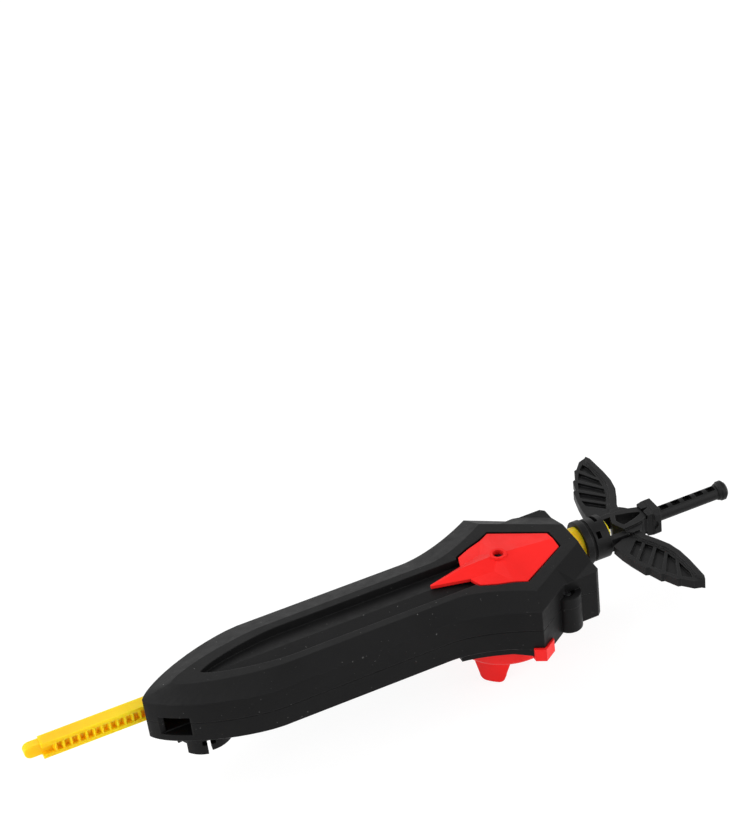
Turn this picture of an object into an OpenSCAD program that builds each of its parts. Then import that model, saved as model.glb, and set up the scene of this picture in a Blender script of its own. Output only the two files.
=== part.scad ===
// Sword-shaped launcher for spinning tops, with a winged ripcord.
// Millimetres. Origin: centre of the turntable at the open rim of the red bezel.
// X runs along the body towards the hilt, Z towards the face with the gem.

/* [Body outline] */
// distance from the turntable axis to the end face with the sockets
end_x = 29.5; // [28:0.5:31]
// half width of the end face
end_half = 21.5; // [20.5:0.25:22.5]
// distance from the axis to the start of the flare
flare_x = 15; // [14:0.5:16]
// distance from the axis to the widest corner
corner_x = 1; // [0:0.25:2]
// half width at the widest corner
corner_half = 31; // [30:0.5:33]
// distance from the axis back to the end of the curved shoulder
shoulder_back = 30; // [28:0.5:33]
// half width of the blade
blade_half = 19.7; // [19:0.1:20.8]
// distance from the axis back to the start of the point
taper_back = 95; // [90:1:100]
// distance from the axis back to the tip
tip_back = 138; // [134:1:146]
// small chamfer on the vertical corners of the end face
corner_chamfer = 1.5; // [0.5:0.1:2.5]

/* [Body heights] */
// underside of the head above the bezel rim
head_z = 8.6; // [8.5:0.1:9.2]
// underside of the blade
blade_z = 12.4; // [12:0.1:12.8]
// parting line between the two shells
seam_z = 20.9; // [20.2:0.1:21.6]
// foot of the top bevel
rim_z = 29.5; // [29:0.1:30]
// flat top face
top_z = 32.4; // [32:0.1:33.2]
// wall thickness of the shells
wall = 1.8; // [1.5:0.1:2]
// chamfer along the bottom edges
bottom_chamfer = 0.6; // [0.5:0.1:1.2]
// depth of the parting line groove
seam_groove = 0.2; // [0.1:0.05:0.4]

/* [Top bevel] */
// half width of the bevel foot at the end face
foot_end_half = 15; // [14:0.25:16]
// half width of the flat top at the end face
crease_end_half = 5.9; // [5:0.1:7]
// distance from the axis to the corner of the flat top
crease_x = 3.4; // [2.5:0.1:4.5]
// half width of the flat top at its corner
crease_half = 22.6; // [21.5:0.1:23.5]
// half width of the flat top on the blade
crease_blade_half = 11.3; // [10.8:0.1:12]
// distance back to where the flat top becomes straight
crease_back = 22; // [20:0.5:24]
// distance back to where the flat top starts to narrow
crease_taper_back = 88; // [84:1:92]
// distance back to the point of the flat top
crease_tip_back = 127; // [124:0.5:130]

/* [Grooves] */
// half width of the top groove
groove_half = 8.3; // [7.8:0.1:8.8]
// depth of the top groove at its foot
groove_deep = 3.2; // [2.6:0.1:3.4]
// depth of the top groove on its middle ridge
groove_ridge_deep = 2; // [1.4:0.1:2.4]
// distance back to the point of the top groove
groove_tip_back = 116; // [113:0.5:119]
// distance back to where the top groove narrows
groove_taper_back = 84; // [80:1:90]
// width of the sloping side of the top groove
groove_slope = 0.9; // [0.5:0.1:1.4]
// half width of the groove under the blade
under_half = 9.4; // [9:0.1:10]
// depth of the groove under the blade at its foot
under_deep = 1.1; // [0.8:0.05:1.2]
// depth of the under groove on its middle ridge
under_ridge_deep = 0.5; // [0.3:0.05:0.7]
// distance back to the end of the groove under the blade
under_tip_back = 110; // [106:0.5:112]

/* [Head underside] */
// distance back to the straight step at the end of the head floor
step_back = 25.5; // [24:0.25:27]
// how far the head floor stands in from the shoulder
step_inset = 2.6; // [2:0.1:3]
// half width of the small pad by the end face
pad_half = 10.7; // [10:0.1:11.5]
// length of the small pad
pad_long = 5; // [4:0.25:6]
// height of the small pad
pad_high = 0.4; // [0.2:0.1:0.6]

/* [Screw lugs] */
// distance from the axis to the side lugs
lug_x = 16.2; // [15.7:0.1:16.8]
// distance of the lug centres from the middle plane
lug_y = 21; // [20.6:0.1:21.4]
// radius of the lugs
lug_r = 5; // [4.6:0.1:5.4]
// lower end of the lugs
lug_low_z = 10; // [9.8:0.1:10.8]
// upper end of the lugs
lug_high_z = 25.3; // [24.5:0.1:26]
// distance back to the blade screws
blade_screw_back = 69.8; // [66:0.2:74]
// distance of the blade screws from the middle plane
blade_screw_y = 15; // [14.7:0.1:15.3]
// radius of the screw wells
well_r = 2.8; // [2.6:0.1:3]
// radius of the screw shanks
shank_r = 1.45; // [1.2:0.05:1.6]
// radius of the screw heads
screw_head_r = 2.5; // [2.2:0.1:2.55]
// thickness of the screw heads
screw_head_t = 1.6; // [1.2:0.1:1.8]
// space between a screw and its hole
screw_gap = 0.05; // [0.03:0.01:0.08]
// wall round a screw hole
post_wall = 1.5; // [1.2:0.1:1.7]

/* [Ripcord] */
// distance of the ripcord from the middle plane
cord_y = 7.1; // [7.1:0.05:7.2]
// height of the middle of the ripcord
cord_z = 19.5; // [19.4:0.05:19.6]
// thickness of the strip across the teeth
cord_t = 5; // [4.8:0.05:5.1]
// height of the strip
cord_h = 6.6; // [6.2:0.1:6.7]
// thickness of the two lips beside the teeth
lip_t = 1.5; // [1.3:0.05:1.6]
// distance from the axis back to the nose of the strip
nose_back = 180.5; // [174:0.5:188]
// length of the smooth nose
nose_long = 6; // [5:0.5:7]
// how far the teeth run past the axis towards the hilt
tooth_front = 6.4; // [6:0.1:7]
// radius of the round collar of the strip
collar_r = 6.8; // [6.4:0.1:7.4]
// distance from the axis to the collar
collar_x = 32; // [31.5:0.25:33]
// thickness of the collar
collar_t = 4; // [3.5:0.25:5]
// free space round the sliding strip
slide_gap = 0.35; // [0.3:0.01:0.4]

/* [Gear] */
// module of the rack and gear teeth
gear_module = 0.9; // [0.89:0.005:0.91]
// number of gear teeth
gear_teeth = 12; // [12:1:12]
// height of the gear teeth along the axis
gear_t = 3.2; // [2.8:0.1:3.3]
// addendum of the gear
gear_add = 0.7; // [0.6:0.05:0.72]
// dedendum of the gear
gear_ded = 0.95; // [0.9:0.05:1.05]
// addendum of the rack
rack_add = 0.72; // [0.6:0.02:0.74]
// dedendum of the rack
rack_ded = 0.95; // [0.9:0.05:1.1]
// play between the tooth flanks
backlash = 0.34; // [0.3:0.02:0.5]
// radius of the spindle
spindle_r = 3.5; // [3.3:0.05:3.6]
// play of the spindle in its sleeves
bearing_play = 0.06; // [0.03:0.01:0.09]
// end float between turning faces
end_float = 0.4; // [0.3:0.05:0.5]

/* [Turntable] */
// outer radius of the bezel at its rim
bezel_r = 21; // [20.6:0.1:21.4]
// outer radius of the bezel at the body
bezel_base_r = 21.7; // [21.5:0.1:22]
// inner radius of the bezel
bezel_bore_r = 18.7; // [18.5:0.1:18.9]
// rounding of the bezel rim
bezel_round = 1; // [0.6:0.1:1.1]
// free space between the disc and the bezel
disc_gap = 0.45; // [0.35:0.05:0.6]
// depth of the disc face below the rim
disc_face_z = 1.2; // [0.9:0.1:1.6]
// thickness of the disc
disc_t = 3; // [2.6:0.1:3.2]
// radius of the centre hole
hole_r = 4; // [3.9:0.05:4.2]
// outer radius of the prongs
prong_r = 17.5; // [17.2:0.1:17.8]
// thickness of the prongs
prong_t = 1.9; // [1.6:0.1:2.2]
// how far the prongs stand out from the rim
prong_high = 11; // [10:0.25:12]
// width of a prong at the disc
prong_base_w = 16.25; // [14.5:0.25:16.5]
// width of a prong at its tip
prong_tip_w = 9.75; // [8:0.25:10]
// angle of the prongs
prong_angle = 45; // [40:1:50]
// length of the slots in the disc
slot_long = 7.5; // [7:0.1:8]
// width of the slots in the disc
slot_wide = 3.3; // [3:0.1:3.5]
// distance of the slots from the axis
slot_r = 13.6; // [13.2:0.1:13.8]
// distance from the axis to the bezel ears along the body
ear_x = 1.8; // [1.4:0.1:2.2]
// distance of the ear screws from the middle plane
ear_y = 26.3; // [25.9:0.1:26.6]
// radius of the bezel ears
ear_r = 4.2; // [3.9:0.1:4.4]
// thickness of the ears
ear_t = 0.9; // [0.8:0.1:1.2]
// how far the ear legs reach up the body wall
leg_high = 4.6; // [4:0.1:5.5]
// thickness of the ear legs
leg_t = 0.9; // [0.8:0.1:1.2]
// half length of the ear legs
leg_half = 4.2; // [3.8:0.1:5.4]

/* [Centre pin] */
// radius of the centre pin
pin_r = 3.5; // [3.3:0.05:3.6]
// how far the pin stands out past the rim
pin_out = 3.5; // [3:0.1:4]
// radius of the guide flange of the pin
pin_flange_r = 4.94; // [4.92:0.01:4.97]
// radius of the guide bore in the disc
pin_bore_r = 5; // [5:0.01:5.02]
// thickness of the guide flange
pin_flange_t = 1.2; // [1:0.1:1.4]
// travel of the pin
pin_travel = 2; // [1.8:0.1:2]
// mean radius of the spring
spring_r = 2; // [1.95:0.01:2.05]
// thickness of the spring wire
wire_d = 0.5; // [0.45:0.01:0.55]
// number of spring curls
curls = 7; // [6:1:8]

/* [Gem] */
// distance from the axis to the blunt end of the gem
gem_reach = 22.2; // [21.4:0.1:22.6]
// height of the gem at its side edge above the top face
gem_edge = 0.2; // [0.1:0.05:0.3]
// height of the gem apex above the top face
gem_high = 2.9; // [2.6:0.1:3.2]
// dark gap round the gem
gem_gap = 0.9; // [0.6:0.1:1]
// depth of the recess under the gem
gem_deep = 1.5; // [1.2:0.1:1.7]
// radius of the hole in the gem
gem_hole_r = 2; // [1.9:0.1:2.2]

/* [Sockets] */
// height of the middle of the socket plate
socket_z = 21.2; // [21.1:0.1:21.4]
// half height of a socket cup
cup_half_h = 8; // [7.7:0.1:8.2]
// half width of a socket cup
cup_half_w = 5.9; // [5.8:0.1:6]
// distance of the cups from the middle plane
cup_y = 7; // [6.9:0.05:7.1]
// how far the socket plate stands out from the end face
cup_out = 0.5; // [0.3:0.1:0.8]
// half height of the waist between the cups
waist_half_h = 5.1; // [4.8:0.1:5.4]
// depth of the funnel in each cup
funnel_deep = 2; // [1.5:0.1:2.4]

/* [Emblem details] */
// outer radius of the raised rim round the emblem hole
gem_ring_r = 3.1; // [2.8:0.1:3.5]
// distance from the axis back to the tip of the emblem spike
spike_back = 27.3; // [26:0.1:29]

/* [Grip mount] */
// distance back to the centre of the grip mount
grip_back = 118.4; // [116:0.2:120]
// radius of the grip mount
grip_r = 10.5; // [10:0.1:11]
// radius of its base flange
grip_flange_r = 11.2; // [10.8:0.1:11.8]
// height of the main drum
grip_drum = 3.4; // [3:0.1:3.8]
// height of the low ring parts past the drum
grip_ring = 3.2; // [2.8:0.1:3.6]
// height of the tall tab past the drum
grip_tab = 4.5; // [4:0.1:5]
// wall of the ring parts
grip_wall = 2.4; // [2:0.1:2.8]

/* [Hilt] */
// radius of the clamp barrel
barrel_r = 8.7; // [8.3:0.1:9.2]
// length of the clamp barrel
barrel_long = 10; // [9:0.25:11]
// length of the open window behind the barrel
window_long = 4.5; // [4.2:0.1:5.2]
// half height of the rails and hub
hub_half_h = 4; // [3.6:0.1:4.5]
// half width of the hub
hub_half_w = 5.4; // [5:0.1:5.8]
// length of the hub frame
hub_long = 12.9; // [12:0.1:13.5]
// thickness of the hub walls
hub_wall = 2; // [1.7:0.1:2.2]
// length of the guard block
guard_long = 5.2; // [4.6:0.1:6]
// half width of the guard block
guard_half_w = 5.2; // [4.9:0.1:5.6]
// half height of the guard block
guard_half_h = 5.9; // [5.5:0.1:6.4]
// radius of the grip rod
rod_r = 2.8; // [2.5:0.1:3.1]
// length of the grip rod
rod_long = 26.7; // [25:0.25:28]
// radius of the pommel
pommel_r = 3.8; // [3.5:0.1:4.2]
// thickness of the pommel
pommel_t = 3.9; // [3.4:0.1:4.4]

/* [Wings] */
// reach of a wing from the ripcord axis
wing_reach = 44.5; // [43:0.25:46]
// distance from the axis to the wing roots
wing_x = 57; // [56.5:0.1:57.5]
// half thickness of the wing web
web_half = 0.6; // [0.5:0.1:0.8]
// half thickness of the ribs
rib_half = 1.8; // [1.6:0.1:2]
// half thickness of the leading spine
spine_half = 2.5; // [2.2:0.1:2.8]

/* [Hidden] */
over = 0.5;
small = 0.02;
fine = 72;
coarse = 28;
shoulder_curve = 1.65;
crease_curve = 1.5;
point_power = 1.5;
point_root = 0.72;
corner_steps = 5;
shoulder_steps = 12;
point_steps = 16;
mitre_share = 1.19;
carry_share = 1.3;
start_share = 0.3;
turn_share = 0.42;
waist_x = -shoulder_back;
taper_x = -taper_back;
tip_x = -tip_back;
floor_z = head_z + wall;
cord_low = cord_z - cord_h / 2;
cord_high = cord_z + cord_h / 2;
cord_in = cord_y - cord_t / 2;
cord_out = cord_y + cord_t / 2;
track_z = cord_low - slide_gap;
roof_z = cord_high + slide_gap;
track_in = cord_in - slide_gap;
track_out = cord_out + slide_gap;
guide_t = wall * 2 / 3;
groove_under = top_z - groove_deep - wall;
pitch_r = gear_module * gear_teeth / 2;
pitch = gear_module * PI;
hilt_x = collar_x + collar_t;
rail_x = hilt_x + barrel_long;
hub_x = rail_x + window_long;
guard_x = hub_x + hub_long;
rod_x = guard_x + guard_long;
pommel_x = rod_x + rod_long;
nose_x = -nose_back;
hub_top_z = head_z - end_float;
bore_top_z = hub_top_z - wall;
gear_low = cord_z - gear_t / 2;
bush_flange_t = wall;
bush_top_z = floor_z + bush_flange_t;
washer_low = bush_top_z + end_float;
washer_t = wall / 2;
washer_high = washer_low + washer_t;
neck_r = cord_in - end_float;
plate_low = roof_z;
plate_t = wall;
plate_high = plate_low + plate_t;
gear_top = plate_low - end_float;
upper_bush_top = plate_high + wall * 2 / 3;
clip_low = upper_bush_top + end_float;
clip_t = wall / 2;
spindle_top = clip_low + clip_t + end_float;
sides = [-1, 1];
gem_shares = [[1, 0.203], [0.153, 0.718], [-0.032, 0.613], [-0.293, 0.522], [-0.535, 0.406], [-0.604, 0.185]];
spike_flank_share = [-0.216, 0.252];
spike_knee_share = 0.5;
spike_crest_share = 0.12;
spike_dip_share = 0.55;
wing_front_shares = [[-0.157, 0.182], [-0.258, 0.225], [-0.247, 0.337], [-0.225, 0.449], [-0.182, 0.607],
    [-0.153, 0.62], [-0.112, 0.742], [-0.085, 0.751], [-0.031, 0.865], [-0.002, 0.876], [0.067, 0.957]];
wing_tip_share = [0.146, 1];
wing_rear_shares = [[0.169, 0.944], [0.175, 0.719], [0.169, 0.573], [0.142, 0.449], [0.09, 0.337],
    [0.04, 0.247], [0.022, 0.182]];
wing_inner_shares = [[-0.056, 0.182], [-0.034, 0.27], [0.027, 0.382], [0.076, 0.483], [0.103, 0.584],
    [0.112, 0.719], [0.108, 0.9]];
feather_shares = [[[-0.067, 0.236], [-0.193, 0.36]], [[-0.027, 0.315], [-0.184, 0.479]],
    [[0.027, 0.411], [-0.139, 0.598]], [[0.067, 0.521], [-0.076, 0.719]], [[0.088, 0.652], [0, 0.84]],
    [[0.1, 0.86], [0.092, 0.925]]];
feather_rib_share = 0.14;
slot_pitch_share = 0.19;
cross_share = 1.3;
pressure_angle = 20;
window_angle = 45;

// shape of the point of the blade, from full width to nothing
function point_width(t) = pow(max(0, 1 - pow(t, point_power)), point_root);

// share of the way along a point, closer together near the tip
function point_way(k) = sin(90 * k / point_steps);

// one side of the vertical wall outline, moved in by d
function rim_half(d) = concat(
    [[end_x - d, end_half - d - corner_chamfer],
     [end_x - d - corner_chamfer, end_half - d],
     [flare_x - d * start_share, end_half - d]],
    body_side(d, d));

// one side of the foot of the top bevel
function foot_half() = concat(
    [[end_x, foot_end_half], [foot_turn_x, end_half], [flare_x, end_half]],
    body_side(0, 0));

crease_slope = (crease_half - crease_end_half) / (end_x - crease_x);
foot_turn_x = end_x - (end_half - foot_end_half) / crease_slope;
crease_turn_x = foot_turn_x - (end_x - foot_turn_x) * turn_share;
crease_mid_x = (crease_turn_x + crease_x) / 2 + bottom_chamfer;

// one side of an outline that clears the head and is moved in by d along the blade
function blade_ring(d) = concat(
    [[end_x + corner_chamfer, end_half],
     [end_x + corner_chamfer / 2, end_half + corner_chamfer],
     [flare_x, end_half + corner_chamfer]],
    body_side(d, -corner_chamfer));

// point q carried on past p by a share of the way from p to q
function carried(p, q) = [for (i = [0 : len(p) - 1]) p[i] + (q[i] - p[i]) * carry_share];

// shoulder, blade and point, moved in by d, and by h at the widest corner
function body_side(d, h) = concat(
    [for (k = [0 : shoulder_steps])
        let (s = 1 - k / shoulder_steps)
        let (e = h + (d - h) * min(1, k * 3 / shoulder_steps))
        [waist_x + (corner_x - waist_x) * s,
         blade_half - e + (corner_half - e * mitre_share - blade_half + e) * pow(s, shoulder_curve)]],
    [[taper_x, blade_half - d]],
    [for (k = [1 : point_steps])
        let (t = point_way(k))
        [taper_x + (tip_x + d - taper_x) * t, (blade_half - d) * point_width(t)]]);

// one side of the crease between the bevel and the flat top, moved in by d
function crease_side(d) = concat(
    [[end_x - d, crease_end_half - d / 2],
     [crease_turn_x - d, crease_end_half - d + (end_x - crease_turn_x) * crease_slope],
     [crease_mid_x - d, crease_end_half - d + (end_x - crease_mid_x) * crease_slope]],
    [for (k = [0 : shoulder_steps])
        let (s = 1 - k / shoulder_steps)
        [-crease_back + (crease_x + crease_back) * s,
         crease_blade_half - d + (crease_half - crease_blade_half) * pow(s, crease_curve)]],
    [[-crease_taper_back, crease_blade_half - d]],
    [for (k = [1 : point_steps])
        let (t = point_way(k))
        [-crease_taper_back + (crease_taper_back - crease_tip_back + d) * t,
         (crease_blade_half - d) * point_width(t)]]);

// a side that ends on the middle plane, made into a closed outline
function closed(side) = concat(side, [for (i = [len(side) - 2 : -1 : 0]) [side[i][0], -side[i][1]]]);

// one side of the head floor, moved in by d and by more along the shoulder
function head_half(d, lean) = concat(
    [[end_x - d, end_half - d - corner_chamfer],
     [end_x - d - corner_chamfer, end_half - d],
     [flare_x - d * start_share, end_half - d]],
    head_shoulder(d, lean));

// the same, opened out past the end face and the flare
function head_keep() = concat(
    [[end_x + wall, corner_half + wall], [corner_x, corner_half + wall]],
    [for (p = head_shoulder(0, step_inset)) if (p[0] < corner_x - small) p]);

// shoulder of the head floor down to the straight step
function head_shoulder(d, lean) =
    [for (k = [0 : shoulder_steps])
        let (s = 1 - k / shoulder_steps)
        let (x = -step_back + (corner_x + step_back) * s)
        let (r = (x - waist_x) / (corner_x - waist_x))
        [x + d * (k == shoulder_steps ? 1 : 0),
         blade_half + (corner_half - blade_half) * pow(r, shoulder_curve) - d * mitre_share
             - lean * min(1, k * 3 / shoulder_steps)]];

// a side that ends away from the middle plane, made into a closed outline
function squared(side) = concat(side, [for (i = [len(side) - 1 : -1 : 0]) [side[i][0], -side[i][1]]]);

// solid between matched outlines at rising heights
module loft(rings, levels) {
    n = len(rings[0]);
    m = len(rings);
    corners = [for (k = [0 : m - 1]) for (p = rings[k]) [p[0], p[1], levels[k]]];
    walls = [for (k = [0 : m - 2]) for (i = [0 : n - 1])
        let (j = (i + 1) % n)
        each [[k * n + i, k * n + n + i, k * n + n + j], [k * n + i, k * n + n + j, k * n + j]]];
    low = [[for (i = [0 : n - 1]) i]];
    high = [[for (i = [n - 1 : -1 : 0]) m * n - n + i]];
    polyhedron(points = corners, faces = concat(walls, low, high), convexity = 10);
}

// straight block over an outline between two heights
module prism(ring, low, high) {
    translate([0, 0, low])
        linear_extrude(height = high - low)
            polygon(ring);
}

// block between two corners
module block(a, b) {
    translate(a)
        cube(b - a);
}

// round bar along the length
module bar_x(x, y, z, r, long) {
    translate([x, y, z])
        rotate([0, 90, 0])
            cylinder(r = r, h = long, $fn = fine);
}

// one or two copies, mirrored across the middle plane
module both_sides() {
    for (s = sides)
        scale([1, s, 1])
            children();
}

// outline of the pointed top groove, moved out by d
function groove_outline(d, front) = closed(concat(
    [[front, groove_half + d], [-groove_taper_back, groove_half + d]],
    [for (k = [1 : point_steps])
        let (t = point_way(k))
        [-groove_taper_back + (groove_taper_back - groove_tip_back - d) * t,
         (groove_half + d) * point_width(t)]]));

// space of the top groove, with its pitched floor
module top_groove() {
    foot = top_z - groove_deep;
    inner = groove_outline(-groove_slope, -gem_reach / 2);
    outer = groove_outline(0, -gem_reach / 2);
    difference() {
        loft([inner, outer, outer], [foot - over, top_z, top_z + over]);
        translate([-tip_back, 0, 0])
            rotate([90, 0, 90])
                linear_extrude(height = tip_back)
                    polygon([[-groove_half - over, foot - over * 2], [-groove_half - over, foot],
                             [0, ridge_top], [groove_half + over, foot],
                             [groove_half + over, foot - over * 2]]);
    }
}

ridge_top = top_z - groove_ridge_deep;

// space of the shallow groove under the blade
module under_groove() {
    deep = blade_z + under_deep;
    difference() {
        linear_extrude(height = deep)
            polygon([[-step_back, under_half], [-taper_back, under_half],
                     [-under_tip_back, under_half * 3 / 4], [-under_tip_back, -under_half * 3 / 4],
                     [-taper_back, -under_half], [-step_back, -under_half]]);
        translate([-tip_back, 0, 0])
            rotate([90, 0, 90])
                linear_extrude(height = tip_back)
                    polygon([[-under_half - over, deep + over], [-under_half - over, deep],
                             [0, blade_z + under_ridge_deep], [under_half + over, deep],
                             [under_half + over, deep + over]]);
    }
}

// outline of the gem, moved out by d
function gem_outline(d) = squared([for (p = gem_shares)
    let (q = p * gem_reach)
    q + q * d / norm(q)]);

// recess in the top face for the gem
module gem_recess() {
    translate([0, 0, top_z - gem_deep])
        linear_extrude(height = gem_deep + over)
            polygon(gem_outline(gem_gap));
}

// eight-sided cup outline across the body, grown by d
module cup_shape(d) {
    w = cup_half_w + d;
    h = cup_half_h + d;
    c = cup_half_w / 3;
    polygon([[w, c - h], [w, h - c], [w - c, h], [c - w, h],
             [-w, h - c], [-w, c - h], [c - w, -h], [w - c, -h]]);
}

// both cups and the waist, grown by d
module socket_shape(d) {
    for (s = sides)
        translate([s * cup_y, 0])
            cup_shape(d);
    square([cup_y * 2, waist_half_h * 2 + d * 2], center = true);
}

// socket outline pushed along the length
module socket_bar(x, long, d) {
    translate([x, 0, socket_z])
        rotate([90, 0, 90])
            linear_extrude(height = long)
                socket_shape(d);
}

// passage of the strip through a wall
module strip_passage(x, long, gap) {
    both_sides()
        block([x, cord_in - gap, cord_low - gap], [x + long, cord_out + gap, cord_high + gap]);
}

// open ends of the two channels at the tip
module exit_windows() {
    strip_passage(tip_x - over, tip_back - grip_back + grip_r + over, slide_gap * 2);
}

// screw with a domed head and a cross recess, head at the origin and shank up
module screw(long) {
    difference() {
        union() {
            cylinder(r = screw_head_r, h = screw_head_t, $fn = coarse);
            cylinder(r = shank_r, h = long, $fn = coarse);
        }
        for (a = [0, 90])
            rotate([0, 0, a])
                cube([screw_head_r * cross_share, screw_head_r / 4, screw_head_t], center = true);
    }
}

// closed lower half with its step and chamfers
module lower_outside() {
    c = bottom_chamfer;
    intersection() {
        difference() {
            prism(closed(rim_half(0)), head_z, seam_z - seam_groove);
            difference() {
                block([tip_x - over, -corner_half * 2, head_z - over],
                      [corner_x - over, corner_half * 2, blade_z]);
                prism(squared(head_keep()), head_z - over * 2, blade_z + over);
            }
        }
        loft([closed(rim_half(c * 3 / 2)), closed(rim_half(-c / 2)), closed(rim_half(-c / 2))],
             [head_z - c / 2, head_z + c * 3 / 2, seam_z + over]);
        loft([closed(blade_ring(c * 3 / 2)), closed(blade_ring(c * 3 / 2)), closed(blade_ring(-c / 2)),
              closed(blade_ring(-c / 2))],
             [head_z - c, blade_z - c / 2, blade_z + c * 3 / 2, seam_z + over]);
    }
}

// upper half cut off by the sloping bevel, for the outside and for the space within
module bevelled(ring, foot, crease, low, foot_z, high) {
    drop = (high - foot_z) * carry_share;
    wide = carried(crease, foot);
    intersection() {
        prism(ring, low, high + over);
        union() {
            loft([wide, wide, crease], [low - over, high - drop, high]);
            block([foot_turn_x + seam_groove, -corner_half, low - over], [end_x + wall, corner_half, foot_z]);
        }
    }
}

module lower_shell() {
    pad_end = end_x - corner_chamfer - bottom_chamfer;
    post_r = well_r + post_wall;
    color("#1b1b1c")
    difference() {
        union() {
            difference() {
                union() {
                    lower_outside();
                    prism(closed(rim_half(seam_groove)), seam_z - seam_groove, seam_z);
                    difference() {
                        block([pad_end - pad_long, -pad_half, head_z - pad_high],
                              [pad_end, pad_half, head_z + over]);
                        translate([0, 0, head_z - over])
                            cylinder(r = bezel_base_r + disc_gap, h = over, $fn = fine);
                    }
                }
                prism(closed(rim_half(wall)), track_z, seam_z + over);
                prism(squared(head_half(wall, step_inset)), floor_z, track_z + over);
                translate([0, 0, head_z - over])
                    cylinder(r = spindle_r * 2, h = wall + over * 2, $fn = fine);
            }
            both_sides()
                blade_rails();
            both_sides()
                head_rail();
            both_sides()
                translate([-blade_screw_back, blade_screw_y, track_z - small])
                    cylinder(r = post_r, h = seam_z - track_z + small, $fn = fine);
            both_sides()
                translate([lug_x, lug_y, lug_low_z])
                    cylinder(r = lug_r, h = seam_z - lug_low_z, $fn = fine);
            both_sides()
                translate([ear_x, ear_y, floor_z - small])
                    cylinder(r = shank_r + post_wall, h = seam_z - floor_z - wall, $fn = fine);
            translate([-grip_back, 0, track_z - small])
                cylinder(r = track_in, h = seam_z - track_z - wall, $fn = fine);
        }
        under_groove();
        socket_bar(end_x - wall - over, wall + over * 2, screw_gap);
        socket_bar(end_x - wall * 2, wall - screw_gap, wall / 2 + screw_gap);
        exit_windows();
        both_sides()
            screw_well(-blade_screw_back, blade_screw_y, blade_z);
        both_sides()
            screw_well(lug_x, lug_y, lug_low_z);
        both_sides()
            translate([ear_x, ear_y, head_z - over])
                cylinder(r = shank_r + screw_gap, h = seam_z - head_z - wall * 2, $fn = coarse);
        translate([-grip_back, 0, blade_z - over])
            cylinder(r = shank_r + screw_gap, h = seam_z - blade_z - wall, $fn = coarse);
        grip_recess();
    }
}

// well for a screw head and the hole for its shank
module screw_well(x, y, z) {
    deep = seam_z - well_floor;
    translate([x, y, z - over])
        cylinder(r = well_r, h = well_floor - z + over, $fn = fine);
    translate([x, y, well_floor - over])
        cylinder(r = shank_r + screw_gap, h = deep + over * 2, $fn = coarse);
}

well_floor = blade_z + wall * 2;

// side guides of one channel inside the blade
module blade_rails() {
    back = grip_back + grip_r / 2;
    block([-grip_back, track_out, track_z - small], [-step_back, track_out + guide_t, seam_z + wall]);
    block([-back, track_in - guide_t, track_z - small], [-step_back, track_in, seam_z + wall]);
}

// rib under the strip inside the head
module head_rail() {
    difference() {
        block([-step_back + wall / 2, cord_y - guide_t / 2, floor_z - small],
              [end_x - wall * 2 - bush_flange_t, cord_y + guide_t / 2, track_z]);
        translate([0, 0, floor_z - over])
            cylinder(r = spindle_r * 3, h = seam_z, $fn = fine);
    }
}

// shallow seat for the grip mount flange
module grip_recess() {
    translate([-grip_back, 0, blade_z - over])
        cylinder(r = grip_flange_r + screw_gap, h = over + under_deep / 2, $fn = fine);
}

module upper_shell() {
    roof_low = top_z - gem_deep - wall;
    inner_rim_z = rim_z - wall * 2 / 3;
    color("#1b1b1c")
    difference() {
        union() {
            difference() {
                union() {
                    prism(closed(rim_half(seam_groove)), seam_z, seam_z + seam_groove);
                    bevelled(closed(rim_half(0)), closed(foot_half()), closed(crease_side(0)),
                             seam_z + seam_groove, rim_z, top_z);
                }
                difference() {
                    bevelled(closed(rim_half(wall)), closed(rim_half(wall)), closed(crease_side(wall / 2)),
                             seam_z - over, inner_rim_z, top_z - wall);
                    translate([0, 0, groove_under])
                        linear_extrude(height = groove_deep + wall)
                            polygon(groove_outline(wall, -gem_reach / 2));
                    translate([0, 0, roof_low])
                        linear_extrude(height = gem_deep + wall)
                            polygon(gem_outline(gem_gap + wall));
                }
            }
            both_sides()
                block([-grip_back, cord_y - guide_t / 2, roof_z],
                      [-step_back, cord_y + guide_t / 2, groove_under + small]);
            both_sides()
                translate([-blade_screw_back, blade_screw_y, seam_z])
                    cylinder(r = shank_r + post_wall, h = rim_z - seam_z, $fn = fine);
            both_sides()
                translate([lug_x, lug_y, seam_z])
                    cylinder(r = lug_r, h = lug_high_z - seam_z, $fn = fine);
            block([-step_back, -guide_t, groove_under - wall * 2],
                  [-step_back + guide_t, guide_t, groove_under + small]);
        }
        top_groove();
        gem_recess();
        socket_bar(end_x - wall - over, wall + over * 2, screw_gap);
        socket_bar(end_x - wall * 2, wall - screw_gap, wall / 2 + screw_gap);
        exit_windows();
        both_sides()
            translate([-blade_screw_back, blade_screw_y, seam_z - over])
                cylinder(r = shank_r + screw_gap, h = rim_z - seam_z - wall, $fn = coarse);
        both_sides()
            translate([lug_x, lug_y, seam_z - over])
                cylinder(r = shank_r + screw_gap, h = lug_high_z - seam_z + over, $fn = coarse);
        both_sides()
            translate([lug_x, lug_y, lug_high_z - wall / 2])
                cylinder(r = well_r, h = wall / 2 + small, $fn = coarse);
        translate([0, 0, roof_low - over])
            cylinder(r = shank_r + screw_gap, h = wall + over * 2, $fn = coarse);
    }
}

module socket_block() {
    back = end_x - wall * 2;
    color("#e9ebee")
    difference() {
        union() {
            socket_bar(back, wall * 2 + cup_out, 0);
            socket_bar(back, wall - screw_gap * 2, wall / 2);
        }
        strip_passage(back - over, wall * 2 + cup_out + over * 2, slide_gap);
        both_sides()
            funnel();
    }
}

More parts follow.
